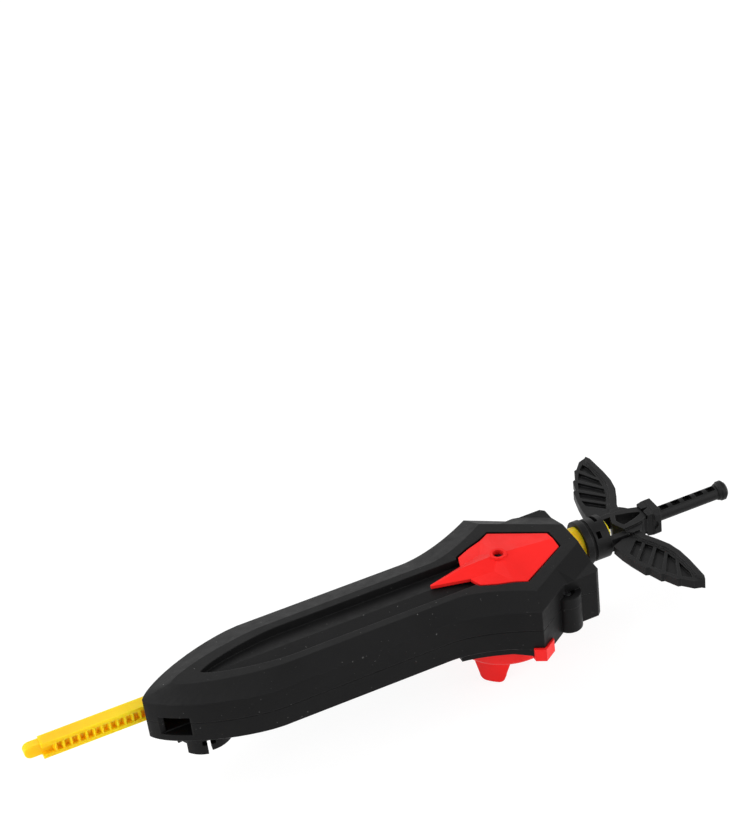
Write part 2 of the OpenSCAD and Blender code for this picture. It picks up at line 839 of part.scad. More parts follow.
// tapered mouth of one socket
module funnel() {
    face = end_x + cup_out;
    w = cord_t / 2 + slide_gap;
    h = cord_h / 2 + slide_gap;
    flare = cup_half_w - wall / 2 - w;
    high = h + socket_z - cord_z + flare;
    translate([face - funnel_deep, cord_y, cord_z])
        rotate([90, 0, 90])
            loft([[[w, -h], [w, h], [-w, h], [-w, -h]],
                  [[w + flare, -h - flare / 2], [w + flare, high],
                   [-w - flare, high], [-w - flare, -h - flare / 2]]],
                 [0, funnel_deep + small]);
}

// height of the emblem facet through its peak and the rim corners a and b, at p
function facet_z(a, b, p) = top_z + gem_high - (gem_high + gem_edge)
    * ((b[1] - a[1]) * p[0] + (a[0] - b[0]) * p[1]) / (a[0] * b[1] - b[0] * a[1]);

module emblem_plate() {
    base = top_z - gem_deep;
    rim = top_z - gem_edge;
    peak = top_z + gem_high;
    tip_half = gem_edge * 2;
    half = concat(gem_reach * gem_shares, [[-spike_back, tip_half]]);
    ring = squared(half);
    n = len(ring);
    flank = gem_reach * spike_flank_share;
    knee = half[5];
    dip = between(flank, knee, spike_dip_share);
    flank_z = facet_z(half[1], half[2], flank) - gem_edge * 3;
    dip_z = flank_z + (rim - flank_z) * spike_dip_share + gem_edge / 2;
    edge_z = facet_z(half[0], half[1], [half[0][0], 0]);
    crest_z = peak - (peak - rim) * spike_crest_share;
    extra = [[0, 0, peak], [half[0][0], 0, edge_z], [-spike_back * spike_knee_share, 0, crest_z],
             [flank[0], flank[1], flank_z], [flank[0], -flank[1], flank_z], [dip[0], dip[1], dip_z],
             [dip[0], -dip[1], dip_z]];
    corners = concat([for (z = [base, rim]) for (p = ring) [p[0], p[1], z]],
                     extra);
    walls = [for (i = [0 : n - 2]) [i, n + i, n + i + 1, i + 1]];
    front = [[n - 1, n * 2 - 1, n * 2 + 1, n, 0]];
    under = [[for (i = [0 : n - 1]) i]];
    a = n * 2;
    near_side = [[a + 1, a, n], [n, a, n + 1], [n + 1, a, n + 2], [n + 2, a, a + 3], [n + 2, a + 3, n + 3],
                 [n + 3, a + 3, n + 4], [n + 4, a + 3, a + 5], [n + 4, a + 5, n + 5], [a + 3, a, a + 2],
                 [a + 3, a + 2, a + 5], [a + 5, a + 2, n + 5], [n + 5, a + 2, n + 6], [n + 6, a + 2, n + 7]];
    far_side = [[n + 7, a + 2, n + 8], [n + 8, a + 2, a + 6], [a + 6, a + 2, a + 4], [a + 2, a, a + 4],
                [n + 8, a + 6, n + 9], [a + 6, a + 4, n + 9], [n + 9, a + 4, n + 10], [n + 10, a + 4, n + 11],
                [a + 4, a, n + 11], [n + 11, a, n + 12], [n + 12, a, n + 13], [n + 13, a, a + 1]];
    color("#c81418")
    difference() {
        union() {
            polyhedron(points = corners, faces = concat(walls, front, near_side, far_side, under),
                       convexity = 6);
            translate([0, 0, top_z - gem_deep / 2])
                cylinder(r = gem_ring_r, h = gem_deep / 2 + gem_high + gem_edge / 2, $fn = fine);
        }
        translate([0, 0, top_z])
            cylinder(r = gem_hole_r, h = gem_high + over, $fn = fine);
        translate([0, 0, base - over])
            cylinder(r = shank_r + screw_gap, h = gem_deep + over * 2, $fn = coarse);
    }
}

module emblem_screw() {
    color("#9a9ca0")
    translate([0, 0, top_z + screw_gap + gem_hole_r / 2])
        mirror([0, 0, 1])
            difference() {
                union() {
                    cylinder(r = gem_hole_r - screw_gap, h = gem_hole_r / 2, $fn = coarse);
                    cylinder(r = shank_r, h = gem_deep + wall + gem_hole_r / 2, $fn = coarse);
                }
                for (a = [0, 90])
                    rotate([0, 0, a])
                        cube([gem_hole_r * cross_share, gem_hole_r / 4, gem_hole_r / 2], center = true);
            }
}

module bezel_ring() {
    step_r = (bezel_bore_r + bezel_base_r) / 2;
    color("#d3151b")
    difference() {
        union() {
            rotate_extrude($fn = fine * 2)
                polygon([[bezel_bore_r, bezel_round / 2], [bezel_bore_r + bezel_round / 2, 0],
                         [bezel_r - bezel_round, 0], [bezel_r - bezel_round / 3, bezel_round / 3],
                         [bezel_r, bezel_round], [bezel_base_r, head_z - wall], [bezel_base_r, head_z],
                         [step_r, head_z], [step_r, head_z / 2], [bezel_bore_r, head_z / 2]]);
            both_sides()
                ear();
        }
        both_sides()
            translate([ear_x, ear_y, head_z - ear_t - over])
                cylinder(r = shank_r + screw_gap, h = ear_t + over * 2, $fn = coarse);
    }
}

// one screw ear of the bezel with the leg that wraps the widest corner
module ear() {
    low = head_z - ear_t;
    translate([ear_x, ear_y, low])
        cylinder(r = ear_r, h = ear_t, $fn = fine);
    difference() {
        block([ear_x - ear_r, bezel_r - bezel_round, low], [ear_x + ear_r, ear_y, head_z]);
        translate([0, 0, -over])
            cylinder(r = bezel_bore_r + bezel_round, h = top_z, $fn = fine);
    }
    intersection() {
        union() {
            difference() {
                translate([0, 0, low])
                    linear_extrude(height = ear_t + leg_high)
                        polygon(closed(rim_half(-leg_t - screw_gap)));
                translate([0, 0, head_z])
                    linear_extrude(height = ear_t + leg_high)
                        polygon(closed(rim_half(-screw_gap)));
            }
        }
        block([ear_x - leg_half, ear_y - ear_r / 2, low],
              [ear_x + leg_half, corner_half * 2, head_z + leg_high]);
    }
}

module bezel_screws() {
    color("#b9bbbf")
    both_sides()
        translate([ear_x, ear_y, head_z - ear_t - screw_head_t])
            screw(screw_head_t + ear_t + wall * 3);
}

module shell_screws() {
    color("#b9bbbf")
    union() {
        both_sides()
            translate([-blade_screw_back, blade_screw_y, well_floor - screw_head_t])
                screw(seam_z - well_floor + screw_head_t + wall * 2);
        both_sides()
            translate([lug_x, lug_y, well_floor - screw_head_t])
                screw(lug_high_z - well_floor + screw_head_t - wall / 2);
    }
}

// part of a ring between two angles
module ring_part(r_in, r_out, z, h, a, b) {
    translate([0, 0, z])
        rotate([0, 0, a])
            rotate_extrude(angle = b - a, $fn = fine)
                translate([r_in, 0])
                    square([r_out - r_in, h]);
}

module grip_mount() {
    flange_t = wall;
    top = blade_z + under_deep / 2;
    low = blade_z - grip_drum;
    inner_r = grip_r - grip_wall;
    tab_start = 214;
    tab_end = 256;
    ring_start = 264;
    ring_end = 505;
    piece_start = 512;
    piece_end = 545;
    color("#1d1d1e")
    translate([-grip_back, 0, 0])
        difference() {
            union() {
                translate([0, 0, blade_z - flange_t])
                    cylinder(r = grip_flange_r, h = top - blade_z + flange_t, $fn = fine);
                translate([0, 0, low])
                    cylinder(r = grip_r - wall / 2, h = grip_drum, $fn = fine);
                translate([0, 0, low])
                    cylinder(r = grip_r, h = wall, $fn = fine);
                ring_part(inner_r, grip_r, low - grip_ring, grip_ring + small, ring_start, ring_end);
                ring_part(inner_r, grip_r, low - grip_ring, grip_ring + small, piece_start, piece_end);
                ring_part(inner_r, grip_r, low - grip_tab, grip_tab + small, tab_start, tab_end);
            }
            translate([0, 0, low - over])
                cylinder(r = well_r, h = wall + over, $fn = fine);
            translate([0, 0, low])
                cylinder(r = shank_r + screw_gap, h = grip_drum * 2, $fn = coarse);
            for (a = [(tab_end + ring_start) / 2, (ring_end + piece_start) / 2])
                rotate([0, 0, a])
                    block([inner_r, -grip_wall, low - over],
                          [grip_flange_r + over, grip_wall, low + wall + over]);
        }
}

module grip_screw() {
    color("#b9bbbf")
    translate([-grip_back, 0, blade_z - grip_drum + wall - screw_head_t])
        screw(grip_drum + wall * 2);
}

module gear_frame() {
    front = end_x - wall * 2 - bush_flange_t;
    back = step_back - wall * 2;
    leg_r = guide_t * 2;
    leg_y = track_out + guide_t + leg_r;
    color("#3a3a3c")
    difference() {
        union() {
            block([-back, -track_out - guide_t, plate_low], [front, track_out + guide_t, plate_high]);
            both_sides()
                frame_guides(front, back);
            both_sides()
                for (x = [-back * 3 / 4, lug_x - lug_r * 3 / 2])
                    translate([x, leg_y, 0]) {
                        translate([0, 0, floor_z])
                            cylinder(r = leg_r, h = plate_high - floor_z, $fn = fine);
                        block([-leg_r, -leg_r * 3 / 2, plate_low], [leg_r, 0, plate_high]);
                    }
        }
        translate([0, 0, plate_low - over])
            cylinder(r = bush_r + screw_gap, h = plate_t + over * 2, $fn = fine);
    }
}

bush_r = spindle_r * 3 / 2;

// guides beside one channel inside the head
module frame_guides(front, back) {
    clear = spindle_r * 5 / 2;
    low = track_z + wall / 2;
    block([-back, track_out, low], [front, track_out + guide_t, plate_low + small]);
    block([clear, track_in - guide_t, low], [front, track_in, plate_low + small]);
    block([-back, track_in - guide_t, low], [-clear, track_in, plate_low + small]);
}

module lower_bush() {
    color("#d8d4c8")
    difference() {
        union() {
            translate([0, 0, head_z])
                cylinder(r = spindle_r * 2 - screw_gap, h = wall, $fn = fine);
            translate([0, 0, floor_z])
                cylinder(r = spindle_r * 5 / 2, h = bush_flange_t, $fn = fine);
        }
        translate([0, 0, head_z - over])
            cylinder(r = spindle_r + bearing_play, h = wall + bush_flange_t + over * 2, $fn = fine);
    }
}

module upper_bush() {
    color("#d8d4c8")
    difference() {
        union() {
            translate([0, 0, plate_low])
                cylinder(r = bush_r, h = upper_bush_top - plate_low, $fn = fine);
            translate([0, 0, plate_high])
                cylinder(r = bush_r + wall, h = upper_bush_top - plate_high, $fn = fine);
        }
        translate([0, 0, plate_low - over])
            cylinder(r = spindle_r + bearing_play, h = upper_bush_top, $fn = fine);
    }
}

module turntable_disc() {
    rim_r = bezel_bore_r - disc_gap;
    hub_r = pin_bore_r + wall;
    color("#d3151b")
    difference() {
        union() {
            translate([0, 0, disc_face_z])
                cylinder(r = rim_r, h = disc_t, $fn = fine * 2);
            translate([0, 0, disc_face_z])
                cylinder(r = hub_r, h = hub_top_z - disc_face_z, $fn = fine);
            for (a = [prong_angle, prong_angle + 180])
                rotate([0, 0, a])
                    prong();
        }
        translate([0, 0, disc_face_z - over])
            cylinder(r = hole_r, h = disc_t, $fn = fine);
        translate([0, 0, disc_face_z + disc_t / 2])
            cylinder(r = pin_bore_r, h = bore_top_z - disc_face_z - disc_t / 2, $fn = fine);
        translate([0, 0, disc_face_z])
            cylinder(r = spindle_r, h = head_z, $fn = fine);
        for (a = [prong_angle, prong_angle + 180])
            rotate([0, 0, a])
                block([slot_r - slot_wide / 2, -slot_long / 2, disc_face_z - over],
                      [slot_r + slot_wide / 2, slot_long / 2, disc_face_z + disc_t + over]);
    }
}

// curved prong that narrows towards its rounded tip
module prong() {
    nose = prong_tip_w / 2;
    c = nose / 2;
    high = prong_high + disc_t;
    wide = prong_base_w / 2;
    corner = [for (k = [0 : corner_steps])
        let (a = 90 * k / corner_steps)
        [nose - c + c * sin(a), c - c * cos(a)]];
    side = concat(corner, [[wide, prong_high + disc_face_z], [wide, high]]);
    intersection() {
        translate([0, 0, -prong_high])
            difference() {
                cylinder(r = prong_r, h = prong_high + disc_face_z + disc_t / 2, $fn = fine * 2);
                translate([0, 0, -over])
                    cylinder(r = prong_r - prong_t, h = prong_high * 2, $fn = fine * 2);
            }
        translate([0, 0, -prong_high])
            rotate([90, 0, 90])
                linear_extrude(height = prong_r + over)
                    polygon(concat(side, [for (i = [len(side) - 1 : -1 : 0]) [-side[i][0], side[i][1]]]));
    }
}

module spindle() {
    spring_bore = spring_r + wire_d;
    color("#c3c6ca")
    difference() {
        translate([0, 0, bore_top_z])
            cylinder(r = spindle_r, h = spindle_top - bore_top_z, $fn = fine);
        translate([0, 0, bore_top_z - over])
            cylinder(r = spring_bore, h = spring_top - bore_top_z + over, $fn = fine);
        translate([0, 0, clip_low])
            difference() {
                cylinder(r = spindle_r * 2, h = clip_t, $fn = fine);
                translate([0, 0, -over])
                    cylinder(r = clip_bore_r, h = clip_t + over * 2, $fn = fine);
            }
    }
}

clip_bore_r = spindle_r * 4 / 5;
spring_top = gear_low - wall;
flange_low = disc_face_z + disc_t / 2 + end_float;
flange_high = flange_low + pin_flange_t;

// half angle of a gear tooth at radius r
function tooth_half(r) =
    let (base_r = pitch_r * cos(20))
    let (q = max(r, base_r))
    let (a = acos(base_r / q))
    let (thick = pitch / 2 - backlash)
    thick / pitch_r * 90 / PI + (tan(pressure_angle) - tan(a)) * 180 / PI - pressure_angle + a;

module drive_gear() {
    tip_r = pitch_r + gear_add;
    root_r = pitch_r - gear_ded;
    base_r = pitch_r * cos(20);
    radii = [root_r - over / 2, base_r, (base_r + pitch_r) / 2, pitch_r, (pitch_r + tip_r) / 2, tip_r];
    turn = 90 + 180 / gear_teeth;
    color("#e6e1d2")
    difference() {
        union() {
            translate([0, 0, gear_low])
                linear_extrude(height = gear_t)
                    union() {
                        circle(r = root_r, $fn = fine);
                        for (k = [0 : gear_teeth - 1])
                            rotate(turn + k * 360 / gear_teeth)
                                polygon(concat([for (r = radii) r * [cos(tooth_half(r)), sin(tooth_half(r))]],
                                               [for (i = [len(radii) - 1 : -1 : 0])
                                                   let (r = radii[i])
                                                   r * [cos(tooth_half(r)), -sin(tooth_half(r))]]));
                    }
            translate([0, 0, washer_high])
                cylinder(r = neck_r, h = gear_top - washer_high, $fn = fine);
            translate([0, 0, washer_high])
                cylinder(r = neck_r + wall / 2, h = track_z - washer_high - end_float, $fn = fine);
        }
        translate([0, 0, washer_high - over])
            cylinder(r = spindle_r, h = gear_top, $fn = fine);
    }
}

module thrust_washer() {
    color("#b0b2b6")
    translate([0, 0, washer_low])
        difference() {
            cylinder(r = spindle_r * 7 / 4, h = washer_t, $fn = fine);
            translate([0, 0, -over])
                cylinder(r = spindle_r, h = washer_t + over * 2, $fn = fine);
        }
}

module retaining_clip() {
    color("#8f9297")
    translate([0, 0, clip_low + small])
        difference() {
            cylinder(r = spindle_r * 4 / 3, h = clip_t - small * 2, $fn = fine);
            translate([0, 0, -over])
                cylinder(r = clip_bore_r, h = clip_t + over * 2, $fn = fine);
            block([0, -clip_bore_r * 3 / 4, -over], [spindle_r * 2, clip_bore_r * 3 / 4, clip_t + over]);
        }
}

module centre_pin() {
    crown = pin_r / 2;
    steps = 8;
    color("#efeff2")
    union() {
        translate([0, 0, -pin_out])
            rotate_extrude($fn = fine)
                polygon(concat([[0, 0], [crown / 2, 0]],
                               [for (k = [1 : steps])
                                   let (a = 90 * k / steps)
                                   [crown / 2 + (pin_r - crown / 2) * sin(a),
                                    crown * 3 / 2 - crown * cos(a)]],
                               [[pin_r, flange_low + pin_out], [pin_flange_r, flange_low + pin_out],
                                [pin_flange_r, flange_high + pin_out], [stem_r, flange_high + pin_out],
                                [stem_r, stem_top + pin_out], [0, stem_top + pin_out]]));
        for (a = [0 : 60 : 300])
            rotate([0, 0, a])
                translate([crown * 5 / 6, 0, -pin_out - crown / 8])
                    cylinder(r = crown / 5, h = crown, $fn = coarse);
    }
}

stem_r = spring_r - wire_d;
stem_top = spring_top - pin_travel - wall;

module pin_spring() {
    low = flange_high + wire_d / 2 + small;
    high = spring_top - wire_d / 2 - small;
    rings = 8 * curls;
    step = (high - low) / rings;
    echo(spring_gap = step * 8 - wire_d);
    corners = [for (i = [0 : rings]) for (k = [0 : 5])
        let (a = 45 * i)
        let (r = spring_r + wire_d / 2 * cos(60 * k))
        [r * cos(a), r * sin(a), low + step * i + wire_d / 2 * sin(60 * k)]];
    walls = [for (i = [0 : rings - 1]) for (k = [0 : 5])
        let (j = (k + 1) % 6)
        each [[i * 6 + k, i * 6 + j, i * 6 + 6 + j], [i * 6 + k, i * 6 + 6 + j, i * 6 + 6 + k]]];
    color("#c9ccd0")
    polyhedron(points = corners,
               faces = concat(walls, [[5, 4, 3, 2, 1, 0]], [[for (k = [0 : 5]) rings * 6 + k]]),
               convexity = 8);
}

// outline of the rack teeth seen from above, teeth towards the gear
function rack_teeth() =
    let (slope = tan(pressure_angle))
    let (root = cord_y_pitch + rack_ded)
    let (tip = cord_y_pitch - rack_add)
    let (half = (pitch / 2 - backlash) / 2)
    let (first = floor((tooth_front - pitch / 2) / pitch))
    let (last = ceil((nose_x + nose_long + pitch) / pitch))
    concat([for (k = [first : -1 : last])
        let (c = k * pitch)
        each [[c + half + rack_ded * slope, root], [c + half - rack_add * slope, tip],
              [c - half + rack_add * slope, tip], [c - half - rack_ded * slope, root]]]);

cord_y_pitch = pitch_r;
nub_half = collar_r - wall / 2;
nub_flat = hub_half_w - hub_wall / 2;

module toothed_strip() {
    root = cord_y_pitch + rack_ded;
    tongue = barrel_long + wall;
    low = cord_low + lip_t;
    high = cord_high - lip_t;
    stub_half = cord_h * 3 / 8;
    stub_in = root + screw_gap;
    teeth = rack_teeth();
    first = teeth[0];
    last = teeth[len(teeth) - 1];
    color("#f2b705")
    union() {
        difference() {
            union() {
                block([nose_x + nose_long, cord_in, cord_low], [collar_x + small, cord_out, cord_high]);
                block([nose_x + stub_half, stub_in, cord_z - stub_half],
                      [nose_x + nose_long + small, cord_out - screw_gap, cord_z + stub_half]);
                translate([nose_x + stub_half, stub_in, cord_z])
                    rotate([-90, 0, 0])
                        cylinder(r = stub_half, h = cord_out - screw_gap - stub_in, $fn = fine);
            }
            block([nose_x + nose_long - over, cord_in - over, low], [tooth_front, root, high]);
        }
        translate([0, 0, low - small])
            linear_extrude(height = high - low + small * 2)
                polygon(concat([[first[0], root + over]], teeth, [[last[0], root + over]]));
        bar_x(collar_x, cord_y, cord_z, collar_r, collar_t);
        block([hilt_x - small, cord_in, cord_z - cord_t / 2],
              [hilt_x + tongue, cord_out, cord_z + cord_t / 2]);
        intersection() {
            bar_x(rail_x + wall / 4, cord_y, cord_z, nub_half, wall / 2);
            block([rail_x, cord_y - nub_flat, cord_z - nub_half - over],
                  [hub_x, cord_y + nub_flat, cord_z + nub_half + over]);
        }
    }
}

module hilt_barrel() {
    gap = screw_gap;
    tongue = barrel_long + window_long;
    step_x = hilt_x + barrel_long / 4;
    ring_x = hilt_x + barrel_long * 2 / 5;
    vee_x = hub_x + hub_wall;
    root_y = wing_reach * wing_front_shares[0][1] - gap;
    root_x = wing_x + wing_reach * wing_inner_shares[0][0];
    neck_y = guard_half_w - hub_wall / 2;
    color("#19191a")
    translate([0, cord_y, cord_z])
        difference() {
            union() {
                bar_x(hilt_x, 0, 0, barrel_r, step_x - hilt_x);
                bar_x(hilt_x, 0, 0, barrel_r - wall * 2 / 3, barrel_long);
                bar_x(ring_x, 0, 0, barrel_r - wall / 4, hilt_x + barrel_long - ring_x);
                both_sides()
                    block([rail_x - small, hub_half_w - hub_wall / 4, -hub_half_h * 3 / 4],
                          [vee_x + hub_wall, hub_half_w + hub_wall, hub_half_h * 2 / 3]);
                difference() {
                    union() {
                        prism(squared([[guard_x, neck_y - wall / 2],
                                       [wing_x + hub_wall, hub_half_w - hub_wall / 4],
                                       [vee_x, hub_half_w], [hub_x, hub_wall / 4]]),
                              -hub_half_h, hub_half_h);
                        prism(squared([[guard_x, neck_y], [guard_x - hub_wall, neck_y - wall / 3],
                                       [wing_x + hub_wall * 2, neck_y + wall / 4],
                                       [wing_x + hub_wall * 3 / 2, hub_half_w + hub_wall / 3],
                                       [wing_x + hub_wall / 2, root_y], [root_x, root_y],
                                       [vee_x + wall / 4, hub_half_w + hub_wall / 2]]),
                              -hub_half_h * 2 / 3, hub_half_h * 4 / 5);
                    }
                    prism(squared([[guard_x - wall / 2, hub_wall / 4], [wing_x + hub_wall, hub_wall],
                                   [vee_x + wall * 2 / 3, hub_half_w - hub_wall],
                                   [hub_x + hub_wall, hub_wall / 4]]), -hub_half_h - over, hub_half_h + over);
                }
            }
            block([hilt_x - over, -cord_t / 2 - gap, -cord_t / 2 - gap],
                  [hilt_x + tongue - wall / 2 + gap, cord_t / 2 + gap, cord_t / 2 + gap]);
            block([ring_x + wall * 3 / 2, -wall / 2, cord_t - wall / 2],
                  [rail_x - wall, barrel_r * 2 / 3, barrel_r + over]);
            rotate([window_angle, 0, 0])
                block([ring_x + wall / 2, -wall * 3 / 4, cord_t],
                      [ring_x + wall * 3 / 2, wall * 3 / 4, barrel_r + over]);
            both_sides()
                translate([wing_x, hub_half_w - hub_wall - over, 0])
                    rotate([-90, 0, 0])
                        cylinder(r = peg_r + gap, h = hub_wall * 3 + over, $fn = coarse);
        }
}

peg_r = hub_wall / 2;

// point between p and q, a share of the way along
function between(p, q, share) = p + (q - p) * share;

// closed outline of the spine, drawn in towards its middle line by a share
function spine_ring(share) = wing_reach * concat(
    [for (i = [0 : spine_last]) between(wing_rear_shares[spine_last - i], wing_inner_shares[i], share)],
    [for (m = [between(wing_rear_shares[0], wing_inner_shares[spine_last], half_share)])
        for (q = [wing_rear_shares[0], wing_inner_shares[spine_last]])
            between(between(wing_tip_share, m, share), q, spine_tip_share)],
    [for (i = [spine_last : -1 : 0]) between(wing_inner_shares[i], wing_rear_shares[spine_last - i], share)]);

spine_last = len(wing_rear_shares) - 1;
spine_round_share = 0.22;
spine_tip_share = 0.2;
half_share = 0.5;
spine_step = (rib_half + spine_half) / 2;

// one wing, reaching out along Y from the ripcord axis
module wing() {
    middle = [for (i = [0 : spine_last])
        between(wing_rear_shares[i], wing_inner_shares[spine_last - i], half_share)];
    tip = between(wing_tip_share, middle[0], spine_tip_share);
    outline = wing_reach * concat(wing_front_shares, [tip], middle);
    root_y = wing_reach * wing_front_shares[0][1];
    translate([wing_x, cord_y, cord_z]) {
        difference() {
            prism(outline, -rib_half, rib_half);
            for (z = [web_half, -rib_half - over])
                translate([0, 0, z])
                    linear_extrude(height = rib_half - web_half + over)
                        for (k = [0 : len(feather_shares) - 2])
                            pocket(wing_reach * feather_shares[k], wing_reach * feather_shares[k + 1]);
        }
        prism(spine_ring(0), -spine_step, spine_step);
        prism(spine_ring(spine_round_share), -spine_half, spine_half);
        translate([0, hub_half_w - hub_wall * 3 / 4, 0])
            rotate([-90, 0, 0])
                cylinder(r = peg_r, h = root_y - hub_half_w + hub_wall * 3 / 2, $fn = coarse);
    }
}

// hollow between two feather lines, short of each by a share
module pocket(p, q) {
    polygon([between(p[0], q[0], feather_rib_share), between(p[1], q[1], feather_rib_share),
             between(p[1], q[1], 1 - feather_rib_share), between(p[0], q[0], 1 - feather_rib_share)]);
}

module wing_left() {
    color("#19191a")
    wing();
}

module wing_right() {
    color("#19191a")
    translate([0, cord_y * 2, 0])
        mirror([0, 1, 0])
            wing();
}

// outline along the length that flares from the hub to the full half size
function flared(half) = squared([
    [rod_x + over, half + over], [guard_x + guard_long / 2, half + over],
    [guard_x + guard_long / 2, half - wall / 6],
    [guard_x + guard_long / 3, half - wall / 2], [guard_x - over, half - wall * 2 / 3]]);

module guard_block() {
    w = guard_half_w;
    h = guard_half_h;
    c = guard_half_w / 3;
    slot = rod_long * slot_pitch_share;
    color("#1a1a1b")
    translate([0, cord_y, cord_z])
        difference() {
            union() {
                intersection() {
                    translate([guard_x + small, 0, 0])
                        rotate([90, 0, 90])
                            linear_extrude(height = guard_long)
                                polygon([[w, c - h], [w, h - c], [w - c, h], [c - w, h],
                                         [-w, h - c], [-w, c - h], [c - w, -h], [w - c, -h]]);
                    prism(flared(w), -h - over, h + over);
                    rotate([90, 0, 0])
                        prism(flared(h), -w - over, w + over);
                }
                bar_x(rod_x, 0, 0, rod_r, rod_long - small);
            }
            for (k = [0 : 4])
                block([rod_x + wall * 5 / 4 + slot * k, -rod_r / 2, rod_r / 3],
                      [rod_x + wall * 5 / 4 + slot * k + slot * 2 / 3, rod_r / 2, rod_r + over]);
            translate([0, 0, h / 3])
                linear_extrude(height = h)
                    polygon([[guard_x - over, hub_wall / 2], [guard_x + guard_long / 2, 0],
                             [guard_x - over, -hub_wall / 2]]);
            both_sides()
                translate([guard_x + guard_long * 2 / 5, w - wall / 3, 0])
                    rotate([-90, 0, 0])
                        cylinder(r = h / 3, h = wall, $fn = coarse);
        }
}

module pommel_cap() {
    c = pommel_t / 8;
    step = pommel_t / 4;
    color("#19191a")
    translate([pommel_x, cord_y, cord_z])
        rotate([0, 90, 0])
            rotate_extrude($fn = fine)
                polygon([[0, 0], [pommel_r - c * 3 / 2, 0], [pommel_r - c, c], [pommel_r - c, step],
                         [pommel_r, step + c], [pommel_r, pommel_t - c * 2], [pommel_r - c * 2, pommel_t],
                         [0, pommel_t]]);
}

lower_shell();
upper_shell();
socket_block();
emblem_plate();
emblem_screw();
bezel_ring();
bezel_screws();
shell_screws();
grip_mount();
grip_screw();
gear_frame();
lower_bush();
upper_bush();
turntable_disc();
spindle();
drive_gear();
thrust_washer();
retaining_clip();
centre_pin();
pin_spring();
toothed_strip();
hilt_barrel();
wing_left();
wing_right();
guard_block();
pommel_cap();
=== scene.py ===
import math

import bpy
from mathutils import Matrix, Vector


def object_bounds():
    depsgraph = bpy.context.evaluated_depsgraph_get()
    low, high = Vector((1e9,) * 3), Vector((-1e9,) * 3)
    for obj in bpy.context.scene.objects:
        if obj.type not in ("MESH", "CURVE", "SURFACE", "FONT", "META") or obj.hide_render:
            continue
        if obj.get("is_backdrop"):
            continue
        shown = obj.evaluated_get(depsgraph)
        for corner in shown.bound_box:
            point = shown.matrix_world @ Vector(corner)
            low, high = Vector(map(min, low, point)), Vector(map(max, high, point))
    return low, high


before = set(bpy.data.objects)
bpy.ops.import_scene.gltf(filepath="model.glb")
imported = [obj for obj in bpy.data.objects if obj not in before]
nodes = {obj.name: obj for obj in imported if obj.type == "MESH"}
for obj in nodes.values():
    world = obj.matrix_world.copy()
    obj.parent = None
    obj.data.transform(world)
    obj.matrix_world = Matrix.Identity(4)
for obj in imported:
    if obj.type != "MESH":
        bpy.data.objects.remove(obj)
low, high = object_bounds()
scene = bpy.context.scene

# noise frequencies, in cells per metre
flow_scale = 38.0
# the next scale sets the patches of the highlight painted along edges
highlight_patch_scale = 120.0
sheen_scale = 260.0
brush_scale = 500.0
dust_scale = 900.0
streak_scale = 900.0
grain_scale = 1500.0
scratch_scale = 2500.0

# moulded plastic
light_gain = 1.12
light_lift = 0.0015
dark_gain = 0.88
flow_band = (0.3, 0.7)
dust_band = (0.73, 0.78)
dust_color = (0.35, 0.35, 0.34)
sheen_band = (0.25, 0.75)
sheen_drop = 0.07
sheen_rise = 0.09
coat_rough = 0.18
grain_strength = 0.35
grain_depth = 0.00012
glow_depth = (0.003, 0.002, 0.0008)
bevel_samples = 4

# painted edge highlight, a lighter colour painted along the edges: how far the rounded normal leaves
# the flat one, and how patchy the painted highlight is
edge_highlight_band = (0.995, 0.93)
edge_highlight_color = (0.09, 0.09, 0.09)
uneven_band = (0.35, 0.6)
uneven_least = 0.3

# metal
brush_dark = 0.7
brush_band = (0.2, 0.8)
brush_drop = 0.08
brush_rise = 0.1
scratch_strength = 0.2
scratch_depth = 0.00005


def rgb(r, g, b):
    return (r, g, b, 1.0)


def new_material(name):
    """Empty node material: the material, its tree, its plastic shader and its output socket."""
    m = bpy.data.materials.new(name)
    m.use_nodes = True
    t = m.node_tree
    t.nodes.clear()
    out = t.nodes.new("ShaderNodeOutputMaterial")
    s = t.nodes.new("ShaderNodeBsdfPrincipled")
    t.links.new(s.outputs["BSDF"], out.inputs["Surface"])
    return m, t, s, out.inputs["Surface"]


def noise(t, scale, detail=4.0, rough=0.55):
    c = t.nodes.new("ShaderNodeTexCoord")
    n = t.nodes.new("ShaderNodeTexNoise")
    n.inputs["Scale"].default_value = scale
    n.inputs["Detail"].default_value = detail
    n.inputs["Roughness"].default_value = rough
    t.links.new(c.outputs["Object"], n.inputs["Vector"])
    return n.outputs["Fac"]


def ramp(t, source, band, start, end):
    """Source held to the band and mapped onto start to end."""
    r = t.nodes.new("ShaderNodeMapRange")
    r.inputs["From Min"].default_value = band[0]
    r.inputs["From Max"].default_value = band[1]
    r.inputs["To Min"].default_value = start
    r.inputs["To Max"].default_value = end
    t.links.new(source, r.inputs["Value"])
    return r.outputs["Result"]


def calculate(t, operation, a, b):
    """Math node on two sockets."""
    n = t.nodes.new("ShaderNodeMath")
    n.operation = operation
    t.links.new(a, n.inputs[0])
    t.links.new(b, n.inputs[1])
    return n.outputs[0]


def mix(t, factor, a, b):
    """Colour a turning into colour b; a is a colour or the socket of one."""
    x = t.nodes.new("ShaderNodeMix")
    x.data_type = "RGBA"
    if isinstance(a, bpy.types.NodeSocket):
        t.links.new(a, x.inputs["A"])
    else:
        x.inputs["A"].default_value = a
    x.inputs["B"].default_value = b
    t.links.new(factor, x.inputs["Factor"])
    return x.outputs["Result"]


def bump(t, s, height, strength, depth, under=None):
    """Fine relief on the shader's normal, over the normal in under."""
    b = t.nodes.new("ShaderNodeBump")
    b.inputs["Strength"].default_value = strength
    b.inputs["Distance"].default_value = depth
    t.links.new(height, b.inputs["Height"])
    if under:
        t.links.new(under, b.inputs["Normal"])
    t.links.new(b.outputs["Normal"], s.inputs["Normal"])


def rounded_normal(t, radius):
    n = t.nodes.new("ShaderNodeBevel")
    n.samples = bevel_samples
    n.inputs["Radius"].default_value = radius
    return n.outputs["Normal"]


